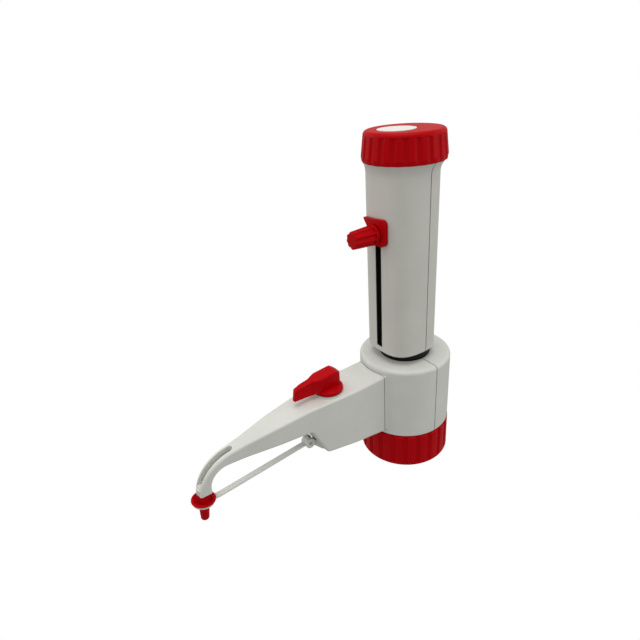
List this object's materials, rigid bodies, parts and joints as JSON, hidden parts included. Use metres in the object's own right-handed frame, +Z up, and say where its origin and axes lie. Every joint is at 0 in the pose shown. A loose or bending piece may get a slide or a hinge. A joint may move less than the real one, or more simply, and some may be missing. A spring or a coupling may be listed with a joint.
{
  "type": "bottle-top dispenser",
  "caption": "Hand-lifted piston dispenser for a reagent bottle, with a screw ring, a sliding volume stop, a hollow discharge arm, a recirculation lever and a nozzle closure.",
  "frame": {"origin": "centre of the lower rim of the bottle ring", "axes": "+Z up along the pump axis; the discharge arm, the slot and the thumb screw face -Y"},
  "size_m": [0.0588, 0.1835, 0.2091],
  "materials": {
    "white_plastic": "satin moulded polypropylene",
    "housing_plastic": "satin moulded polypropylene",
    "red_plastic": "glossy moulded polypropylene",
    "label_face": "smooth bare disc",
    "strap_plastic": "soft polypropylene",
    "dark_plastic": "dark moulded plastic",
    "inner_plastic": "natural polypropylene",
    "fluoropolymer": "white fluoropolymer",
    "clear_tube": "clear fluoropolymer tube",
    "borosilicate_glass": "clear polished",
    "valve_glass": "ground glass ball",
    "spring_metal": "bright corrosion-proof wire",
    "steel": "turned stainless steel",
    "seal_rubber": "matt elastomer"
  },
  "bodies": {
    "base": {"valve_block": "inner_plastic", "seat_flange": "inner_plastic", "bottle_seal": "seal_rubber", "filling_valve": "inner_plastic", "filling_washer": "fluoropolymer", "casing_front": "white_plastic", "casing_rear": "white_plastic", "cylinder_gasket": "fluoropolymer", "glass_cylinder": "borosilicate_glass", "guide_sleeve": "inner_plastic", "stop_ring": "dark_plastic", "cylinder_nut": "dark_plastic", "port_union": "inner_plastic", "valve_body": "inner_plastic", "arm_shell": "white_plastic", "discharge_tube": "clear_tube", "tube_nut": "fluoropolymer", "plug_seal": "fluoropolymer", "discharge_spring": "spring_metal", "strap_pin": "steel"},
    "bottle_ring": {"bottle_ring": "red_plastic"},
    "lifting_unit": {"housing_front": "housing_plastic", "housing_rear": "housing_plastic", "top_cap": "red_plastic", "cap_label": "label_face", "gear_rack": "dark_plastic", "piston_head": "fluoropolymer", "piston_rod": "fluoropolymer", "rod_nut": "inner_plastic"},
    "volume_slider": {"slider_plate": "red_plastic", "slider_carrier": "dark_plastic"},
    "thumb_screw": {"thumb_knob": "red_plastic", "thumb_stud": "steel"},
    "recirculation_valve": {"recirculation_lever": "red_plastic", "recirculation_plug": "fluoropolymer"},
    "nozzle_closure": {"closure_cap": "red_plastic", "closure_strap": "strap_plastic"},
    "filling_ball": {"filling_ball": "valve_glass"},
    "discharge_ball": {"discharge_ball": "valve_glass"}
  },
  "joints": [
    {"name": "ring_turn", "type": "hinge", "parent": "base", "child": "bottle_ring", "pos_m": [0, 0, 0], "axis": [0, 0, 1], "continuous": true},
    {"name": "pump_stroke", "type": "slide", "parent": "base", "child": "lifting_unit", "axis": [0, 0, 1], "range_m": [0, 0.078]},
    {"name": "volume_setting", "type": "slide", "parent": "lifting_unit", "child": "volume_slider", "axis": [0, 0, 1], "range_m": [-0.066, 0]},
    {"name": "thumb_screw_turn", "type": "hinge", "parent": "volume_slider", "child": "thumb_screw", "pos_m": [0, -0.03, 0.1555], "axis": [0, -1, 0], "range_deg": [0, 180]},
    {"name": "recirculation_turn", "type": "hinge", "parent": "base", "child": "recirculation_valve", "pos_m": [0, -0.061, 0.07], "axis": [0, 0, 1], "range_deg": [0, 90]},
    {"name": "closure_swing", "type": "hinge", "parent": "base", "child": "nozzle_closure", "pos_m": [0, -0.0783, 0.0378], "axis": [1, 0, 0], "range_deg": [0, 75]},
    {"name": "filling_ball_lift", "type": "slide", "parent": "base", "child": "filling_ball", "axis": [0, 0, 1], "range_m": [0, 0.0015]},
    {"name": "discharge_ball_lift", "type": "slide", "parent": "base", "child": "discharge_ball", "axis": [0, -1, 0], "range_m": [0, 0.0015], "stiffness_N_per_m": 20, "deforming": ["discharge_spring"]}
  ]
}
